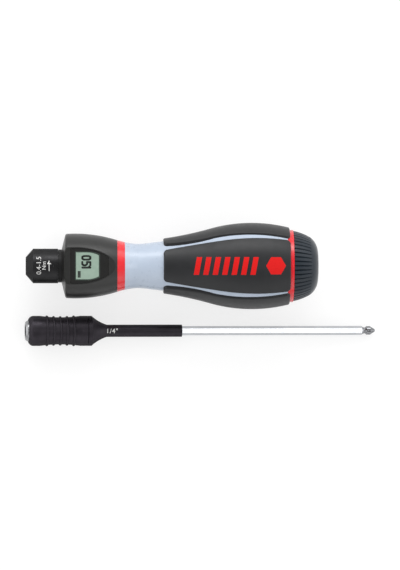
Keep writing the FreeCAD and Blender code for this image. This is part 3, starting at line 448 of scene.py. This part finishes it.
# ------------------------------------------------------------------ display
# Lengths in mm; x runs from the nose's end, and the figures' tops point to the cap.
LENS_BEVEL = 0.15
FIELD_MARGINS = 0.8, 2.1            # from the screen's front and rear
FIELD_HALF_WIDTHS = 6.65, 5.2       # at its front and rear
BORDER_MARGINS = 0.5, 0.6           # round the field
BORDER_HALF_WIDTHS = 7.15, 5.75
LCD_SUNK = 0.1
BORDER_LIFT, FIELD_LIFT, INK_LIFT = 0.012, 0.02, 0.03
FIGURE_BASE, FIGURE_HEIGHT, FIGURE_WIDTH, FIGURE_STROKE = 28.2, 4.0, 1.75, 1.0
UNIT_BASE, UNIT_TOP, UNIT_STROKE = 26.1, 27.2, 0.5
UNIT_LEFT, UNIT_PITCH, UNIT_COUNT = -2.85, 0.55, 6
NOUGHT = ((0.25, 0), (0, 0.2), (0, 0.8), (0.25, 1), (0.75, 1), (1, 0.8), (1, 0.2),
          (0.75, 0), (0.25, 0))
FIVE = ((0.95, 1), (0.1, 1), (0.05, 0.58), (0.6, 0.6), (0.98, 0.42), (0.98, 0.18),
        (0.7, 0), (0.05, 0))
ONE = ((0.55, 0), (0.55, 1), (0.2, 0.86))
READING = (NOUGHT, 4.85), (FIVE, 2.0), (ONE, 0.1)       # each figure and its left side


def node_outline(node, tool, height):
    """The outline of a flat plate at one height, in order round its middle."""
    inverse = tool.inverted()
    points = {}
    for vertex in frame["nodes"][node].data.vertices:
        local = inverse @ vertex.co
        if abs(local.z - height) < 1e-3:
            points[(round(local.x, 3), round(local.y, 3))] = None
    middle = Vector((sum(x for x, _ in points), sum(y for _, y in points))) / len(points)
    return sorted(points, key=lambda point: math.atan2(point[1] - middle.y,
                                                       point[0] - middle.x))


def screen_shape(start, end, half_widths):
    """The screen's visible field: square at the front, its rear corners drawn in by an arc."""
    front_half, rear_half = half_widths
    knee = start + 0.5 * (end - start)
    side = [(start, front_half), (knee, front_half)]
    steps = 8
    for step in range(1, steps + 1):
        share = step / steps
        side.append((knee + share * (end - knee),
                     front_half - (front_half - rear_half) * share ** 2))
    return side + [(x, -y) for x, y in reversed(side)]


def lcd_figures():
    """Outlines of three figures that read across the tool, and of the unit's strokes."""
    outlines = []
    for figure, left in READING:
        outlines += stroke([(FIGURE_BASE + FIGURE_HEIGHT * up, left - FIGURE_WIDTH * across)
                            for across, up in figure], FIGURE_STROKE)
    for number in range(UNIT_COUNT):
        y = UNIT_LEFT - UNIT_PITCH * number
        outlines += stroke([(UNIT_BASE, y), (UNIT_TOP, y)], UNIT_STROKE)
    return outlines


def build_display():
    """The lens in place of the plain window, with the screen and its figures on it."""
    low, high = box_in_tool("display_window", HANDLE)
    top = high.z
    face = slab("window_face", node_outline("display_window", HANDLE, top), low.z, top,
                HANDLE, "window_black", "handle", bevel=LENS_BEVEL)
    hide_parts("display_window")
    screen_low, screen_high = box_in_tool("lcd_screen", HANDLE)
    start = screen_low.x + FIELD_MARGINS[0]
    end = screen_high.x - FIELD_MARGINS[1]
    edge = screen_shape(start - BORDER_MARGINS[0], end + BORDER_MARGINS[1],
                        BORDER_HALF_WIDTHS)
    field = screen_shape(start, end, FIELD_HALF_WIDTHS)
    slab("lcd_border", edge, top - LCD_SUNK, top + BORDER_LIFT, HANDLE, "lcd_edge",
         "handle")
    slab("lcd_field", field, top - LCD_SUNK, top + FIELD_LIFT, HANDLE, "lcd_field",
         "handle")
    figures = polygons(lcd_figures())
    figures.transform(HANDLE @ Matrix.Translation((0, 0, top + INK_LIFT)))
    mesh = bpy.data.meshes.new("lcd_figures")
    figures.to_mesh(mesh)
    figures.free()
    add_piece("lcd_figures", mesh, "lcd_ink", "handle")


# ------------------------------------------------------------------ prints
# Lengths in mm, x from the end of the nose or of the blade's bit end.
PRINT_LIFT, GRIP_PRINT_LIFT = 0.03, 0.012
NOSE_EDGE, BLADE_EDGE, GRIP_EDGE = 0.6, 0.5, 0.35       # longest edges of the print meshes
NOSE_WORDS = (("nose_range", "0.4-1.5", 2.3, 6.55),     # name, words, height, x
              ("nose_unit", "Nm", 1.9, 9.15))
NOSE_WORDS_Y = 0.15
ARROW_X = 11.7
ARROW_SHAFT_HALF, ARROW_SHAFT_START, ARROW_SHAFT_END = 0.2, -2.6, 1.0
ARROW_HEAD_HALF, ARROW_HEAD_START, ARROW_TIP = 1, 0.9, 2.75
BLADE_SIZE_HEIGHT, BLADE_SIZE_X = 2.4, 43.6
HEXAGON_X, HEXAGON_ACROSS = 124.1, 9.9
BARS_X, BAR_PITCH, BAR_COUNT = 83.4, 4.65, 7
BAR_LEAN, BAR_WIDTH, BAR_LOW, BAR_HIGH = 1.6, 2.6, -4.5, 4.35


def print_on_nose():
    """The torque range, its unit and an arrow that shows the way round."""
    nose = ("drive_nose", "blade_catch_ring")
    shaft = [(ARROW_X - ARROW_SHAFT_HALF, ARROW_SHAFT_START),
             (ARROW_X + ARROW_SHAFT_HALF, ARROW_SHAFT_START),
             (ARROW_X + ARROW_SHAFT_HALF, ARROW_SHAFT_END),
             (ARROW_X - ARROW_SHAFT_HALF, ARROW_SHAFT_END)]
    head = [(ARROW_X - ARROW_HEAD_HALF, ARROW_HEAD_START),
            (ARROW_X + ARROW_HEAD_HALF, ARROW_HEAD_START), (ARROW_X, ARROW_TIP)]
    shapes = [(name, text_outline(words, height, (x, NOSE_WORDS_Y), 1))
              for name, words, height, x in NOSE_WORDS]
    shapes.append(("nose_arrow", polygons([shaft, head])))
    for name, flat in shapes:
        lay_on(name, flat, nose, HANDLE, PRINT_LIFT, "white_print", "drive",
               NOSE_EDGE)


def print_on_blade():
    """The size of the bit holder."""
    figures = text_outline("1/4\"", BLADE_SIZE_HEIGHT, (BLADE_SIZE_X, 0.0), 0,
                           weight=0.008, spacing=1.15)
    lay_on("blade_size", figures, ("holder_body",), BLADE, PRINT_LIFT, "white_print",
           "handle", BLADE_EDGE)


def print_on_grip():
    """A plain red hexagon, and a row of leaning bars where the grip carries its print."""
    radius = HEXAGON_ACROSS / 2
    hexagon = [(HEXAGON_X + radius * math.cos(math.tau * corner / 6),
                radius * math.sin(math.tau * corner / 6)) for corner in range(6)]
    bars = []
    for number in range(BAR_COUNT):
        x = BARS_X + BAR_PITCH * number
        bars.append([(x, BAR_LOW), (x + BAR_WIDTH, BAR_LOW),
                     (x + BAR_WIDTH + BAR_LEAN, BAR_HIGH), (x + BAR_LEAN, BAR_HIGH)])
    for name, outlines in (("grip_hexagon", [hexagon]), ("grip_bars", bars)):
        lay_on(name, polygons(outlines), ("grip_panel_top",), HANDLE, GRIP_PRINT_LIFT,
               "red_print", "handle", GRIP_EDGE)


# ------------------------------------------------------------------ stage, light, camera
VIEW_HEIGHT = 0.285         # m, what the picture shows from top to bottom
CAMERA_DISTANCE = 2.0
CAMERA_LEAN = math.radians(-5.3)
LOOK_AT = (87.05, -9.5, 0)  # mm along the handle
FLOOR_REACH = 3.0
FLOOR_GAP = 0.0002
FLOOR_GLOW = 0.7
FLOOR_SEEN = 0.325, 0.335   # linear greys under the glow
FLOOR_UNSEEN = 0.42         # linear grey for the light it throws back
TENT_BAND = ((0.0, 0.3), (0.12, 0.45), (0.28, 1.0), (0.55, 0.85), (0.97, 0.12))
TENT_NEAR, TENT_FAR = 1.4, 2.25
TENT_DEPTH = 0.9


def build_floor():
    """A pale floor: nearly white where it is seen, a mid grey for the light it throws back.

    The glow is for rays that see the floor and adds no light to the tool's diffuse shading.
    """
    mesh = bpy.data.meshes.new("floor")
    grid = bmesh.new()
    bmesh.ops.create_grid(grid, x_segments=2, y_segments=2, size=FLOOR_REACH)
    grid.to_mesh(mesh)
    grid.free()
    floor = bpy.data.objects.new("floor", mesh)
    floor.location.z = cad_box[0][2] - FLOOR_GAP
    bpy.context.scene.collection.objects.link(floor)
    shade = Shade("floor_white", 0.9, Specular_IOR_Level=0.0)
    pale = shade.blend(shade.between(shade.noise(300), 0, 1),
                       grey(FLOOR_SEEN[0]), grey(FLOOR_SEEN[1]))
    seen = seen_rays(shade.tree)
    shade.link(shade.blend(seen, grey(FLOOR_UNSEEN), pale), shade.shader.inputs["Base Color"])
    shade.set(Emission_Color=grey(1))
    glow = shade.node("MapRange", To_Max=FLOOR_GLOW)
    shade.link(seen, glow.inputs["Value"])
    shade.link(glow.outputs["Result"], shade.shader.inputs["Emission Strength"])
    mesh.materials.append(shade.material)


def seen_rays(tree):
    """1 for a ray from the camera, or by way of gloss or glass; 0 for diffuse light."""
    path = tree.nodes.new("ShaderNodeLightPath")
    total = path.outputs["Is Camera Ray"]
    for name in ("Is Glossy Ray", "Is Transmission Ray"):
        either = tree.nodes.new("ShaderNodeMath")
        either.operation = "MAXIMUM"
        tree.links.new(total, either.inputs[0])
        tree.links.new(path.outputs[name], either.inputs[1])
        total = either.outputs["Value"]
    return total


def build_world():
    """A tent of light: a bright band above the horizon, stronger behind, dim overhead."""
    world = bpy.data.worlds.new("studio")
    world.use_nodes = True
    bpy.context.scene.world = world
    tree = world.node_tree
    nodes = tree.nodes
    background = nodes["Background"]
    way = nodes.new("ShaderNodeTexCoord")
    split = nodes.new("ShaderNodeSeparateXYZ")
    tree.links.new(way.outputs["Generated"], split.inputs["Vector"])
    band = nodes.new("ShaderNodeValToRGB")
    stops = band.color_ramp.elements
    while len(stops) < len(TENT_BAND):
        stops.new(0.5)
    for stop, (rise, level) in zip(stops, TENT_BAND):
        stop.position = rise
        stop.color = grey(level)
    tree.links.new(split.outputs["Z"], band.inputs["Fac"])
    depth = nodes.new("ShaderNodeMapRange")
    for socket, value in (("From Min", -TENT_DEPTH), ("From Max", TENT_DEPTH),
                          ("To Min", TENT_NEAR), ("To Max", TENT_FAR)):
        depth.inputs[socket].default_value = value
    tree.links.new(split.outputs["Y"], depth.inputs["Value"])
    tree.links.new(band.outputs["Color"], background.inputs["Color"])
    tree.links.new(depth.outputs["Result"], background.inputs["Strength"])


def add_light(name, place, target, size, power):
    data = bpy.data.lights.new(name, "AREA")
    data.shape = "RECTANGLE"
    data.size, data.size_y = size
    data.energy = power
    light = bpy.data.objects.new(name, data)
    light.location = place
    aim = Vector(target) - Vector(place)
    light.rotation_euler = aim.to_track_quat("-Z", "Y").to_euler()
    bpy.context.scene.collection.objects.link(light)


def build_lights():
    """A soft lamp from behind, and a small panel that the blade's flats mirror."""
    add_light("far_soft", place=(-0.1, 1.3, 0.8), target=(0, 0, 0.02), size=(1.3, 0.5),
              power=6)
    add_light("flat_panel", place=(0.33, 0.0, 1.5), target=(0.03, -0.02, 0),
              size=(0.5, 0.34), power=1.3)


def build_camera():
    """Looks straight down on both tools, leaning a little along them."""
    data = bpy.data.cameras.new("camera")
    data.sensor_fit = "VERTICAL"
    data.lens = data.sensor_height * CAMERA_DISTANCE / VIEW_HEIGHT
    data.clip_start = 0.01
    camera = bpy.data.objects.new("camera", data)
    towards = Vector((math.sin(CAMERA_LEAN), 0, math.cos(CAMERA_LEAN)))
    up = Vector((0, 1, 0))
    turn = Matrix((up.cross(towards), up, towards)).transposed().to_4x4()
    camera.matrix_world = Matrix.Translation(
        HANDLE @ Vector(LOOK_AT) + towards * CAMERA_DISTANCE) @ turn
    bpy.context.scene.collection.objects.link(camera)
    bpy.context.scene.camera = camera


finish_nodes()
build_display()
print_on_nose()
print_on_blade()
print_on_grip()
build_floor()
build_world()
build_lights()
build_camera()
bpy.context.scene.view_settings.view_transform = "Standard"
